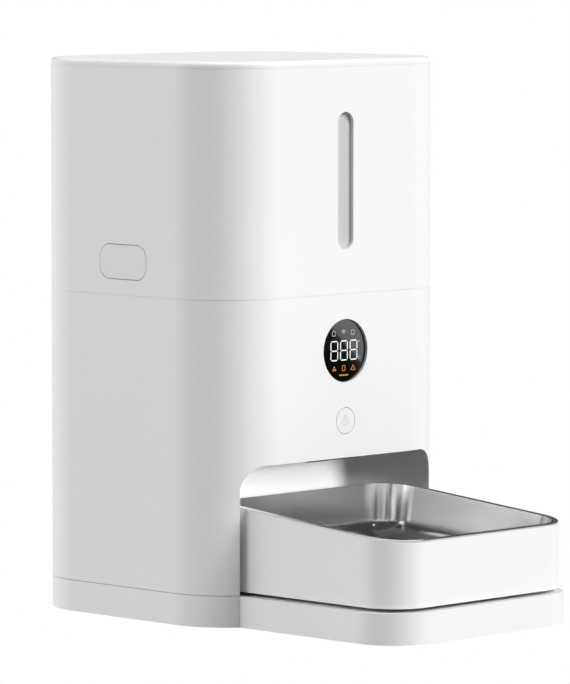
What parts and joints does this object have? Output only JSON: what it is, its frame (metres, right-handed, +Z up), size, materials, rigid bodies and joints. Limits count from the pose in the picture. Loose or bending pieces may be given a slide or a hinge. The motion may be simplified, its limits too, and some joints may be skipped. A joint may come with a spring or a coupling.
{
  "type": "automatic pet feeder",
  "caption": "Tower-shaped dry food dispenser for pets, with a lift-off hopper and hinged lid, a geared paddle rotor, a round display and feed button, and a steel bowl on a weighing plinth.",
  "frame": {"origin": "centre of the footprint's bounding box, on the surface that the feet stand on", "axes": "+Z up, -Y towards the front where the bowl is, +X to the right when looking at the front"},
  "size_m": [0.203, 0.299, 0.34],
  "materials": {
    "white_shell": "satin moulded",
    "white_trim": "satin",
    "clear_window": "clear, lightly smoked",
    "display_glass": "gloss black",
    "bowl_steel": "brushed stainless",
    "foot_rubber": "matt",
    "grey_inner": "moulded",
    "bin_plastic": "milky",
    "board": "solder mask",
    "gear_nylon": "moulded",
    "zinc_steel": "zinc plated",
    "motor_can": "plated can",
    "spring_steel": "bright wire",
    "silicone": "soft, matt",
    "battery_wrap": "plain wrap",
    "alloy": "milled",
    "black_plastic": "moulded",
    "bag_cloth": "non-woven"
  },
  "bodies": {
    "base": {"base_shell": "white_shell", "bottom_cover": "grey_inner", "battery_box": "grey_inner", "battery_cells": "battery_wrap", "battery_contacts": "spring_steel", "rubber_feet": "foot_rubber", "base_screws": "zinc_steel", "housing_screws": "zinc_steel", "load_cell": "alloy", "weigh_platform": "grey_inner", "lower_housing": "white_shell", "alcove_liner": "white_shell", "hopper_seat": "grey_inner", "seat_screws": "zinc_steel", "food_chute": "grey_inner", "food_sensors": "black_plastic", "display_lens": "display_glass", "display_bezel": "black_plastic", "display_module": "black_plastic", "display_board": "board", "feed_button_spring": "spring_steel", "tact_switch": "black_plastic", "main_board": "board", "buzzer": "black_plastic", "board_screws": "zinc_steel", "power_inlet": "black_plastic", "gear_pins": "zinc_steel", "gearbox_housing": "black_plastic", "gearbox_cover": "black_plastic", "gearbox_screws": "zinc_steel", "drive_motor": "motor_can"},
    "hopper": {"hopper_shell": "white_shell", "food_bin": "bin_plastic", "window_lens": "clear_window", "hopper_floor": "grey_inner", "release_spring_left": "spring_steel", "release_spring_right": "spring_steel"},
    "battery_door": {"battery_door": "grey_inner"},
    "holder": {"bowl_holder": "white_shell"},
    "bowl": {"steel_bowl": "bowl_steel"},
    "feed_button": {"feed_button": "white_trim"},
    "motor_rotor": {"motor_shaft": "zinc_steel", "motor_pinion": "gear_nylon"},
    "gear_one": {"first_gear": "gear_nylon"},
    "gear_two": {"second_gear": "gear_nylon"},
    "output_drive": {"output_gear": "gear_nylon", "output_coupler": "gear_nylon"},
    "release_left": {"release_button_left": "white_trim"},
    "release_right": {"release_button_right": "white_trim"},
    "rotor": {"rotor_hub": "grey_inner", "rotor_vanes": "silicone", "stirrer": "zinc_steel"},
    "lid": {"lid_shell": "white_shell", "lid_hinge_pin": "zinc_steel", "lid_liner": "white_trim", "lid_seal": "silicone", "desiccant_box": "white_trim", "desiccant_bag": "bag_cloth"},
    "desiccant_door": {"desiccant_cover": "white_trim"}
  },
  "joints": [
    {"name": "hopper_lift", "type": "slide", "parent": "base", "child": "hopper", "axis": [0, 0, 1], "range_m": [0, 0.075]},
    {"name": "lid_hinge", "type": "hinge", "parent": "hopper", "child": "lid", "pos_m": [0, 0.14747, 0.33797], "axis": [-1, 0, 0], "range_deg": [0, 100]},
    {"name": "desiccant_cover_turn", "type": "hinge", "parent": "lid", "child": "desiccant_door", "pos_m": [0, 0.06, 0.31], "axis": [0, 0, 1], "range_deg": [0, 35]},
    {"name": "release_left_press", "type": "slide", "parent": "hopper", "child": "release_left", "axis": [1, 0, 0], "range_m": [0, 0.003], "stiffness_N_per_m": 600, "springref_m": -0.003, "deforming": ["release_spring_left"]},
    {"name": "release_right_press", "type": "slide", "parent": "hopper", "child": "release_right", "axis": [-1, 0, 0], "range_m": [0, 0.003], "stiffness_N_per_m": 600, "springref_m": -0.003, "deforming": ["release_spring_right"]},
    {"name": "rotor_spin", "type": "hinge", "parent": "hopper", "child": "rotor", "pos_m": [0, 0.06, 0.17], "axis": [0, 0, 1], "continuous": true},
    {"name": "output_spin", "type": "hinge", "parent": "base", "child": "output_drive", "pos_m": [0, 0.06, 0.14], "axis": [0, 0, 1], "continuous": true},
    {"name": "second_gear_spin", "type": "hinge", "parent": "base", "child": "gear_two", "pos_m": [0.024, 0.06, 0.132], "axis": [0, 0, 1], "continuous": true},
    {"name": "first_gear_spin", "type": "hinge", "parent": "base", "child": "gear_one", "pos_m": [0.036, 0.08078, 0.125], "axis": [0, 0, 1], "continuous": true},
    {"name": "motor_spin", "type": "hinge", "parent": "base", "child": "motor_rotor", "pos_m": [0.01522, 0.09278, 0.12], "axis": [0, 0, 1], "continuous": true},
    {"name": "feed_button_press", "type": "slide", "parent": "base", "child": "feed_button", "axis": [0, 1, 0], "range_m": [0, 0.001], "stiffness_N_per_m": 900, "springref_m": -0.001, "deforming": ["feed_button_spring"]},
    {"name": "bowl_holder_pull", "type": "slide", "parent": "base", "child": "holder", "axis": [0, -1, 0], "range_m": [0, 0.165]},
    {"name": "bowl_lift", "type": "slide", "parent": "holder", "child": "bowl", "axis": [0, 0, 1], "range_m": [0, 0.009]},
    {"name": "battery_door_hinge", "type": "hinge", "parent": "base", "child": "battery_door", "pos_m": [0, 0.0474, 0.0025], "axis": [-1, 0, 0], "range_deg": [0, 95]}
  ],
  "couplings": [
    {"joint": "output_spin", "follows": "rotor_spin", "ratio": 1},
    {"joint": "second_gear_spin", "follows": "rotor_spin", "ratio": -4},
    {"joint": "first_gear_spin", "follows": "rotor_spin", "ratio": 16},
    {"joint": "motor_spin", "follows": "rotor_spin", "ratio": -64}
  ]
}
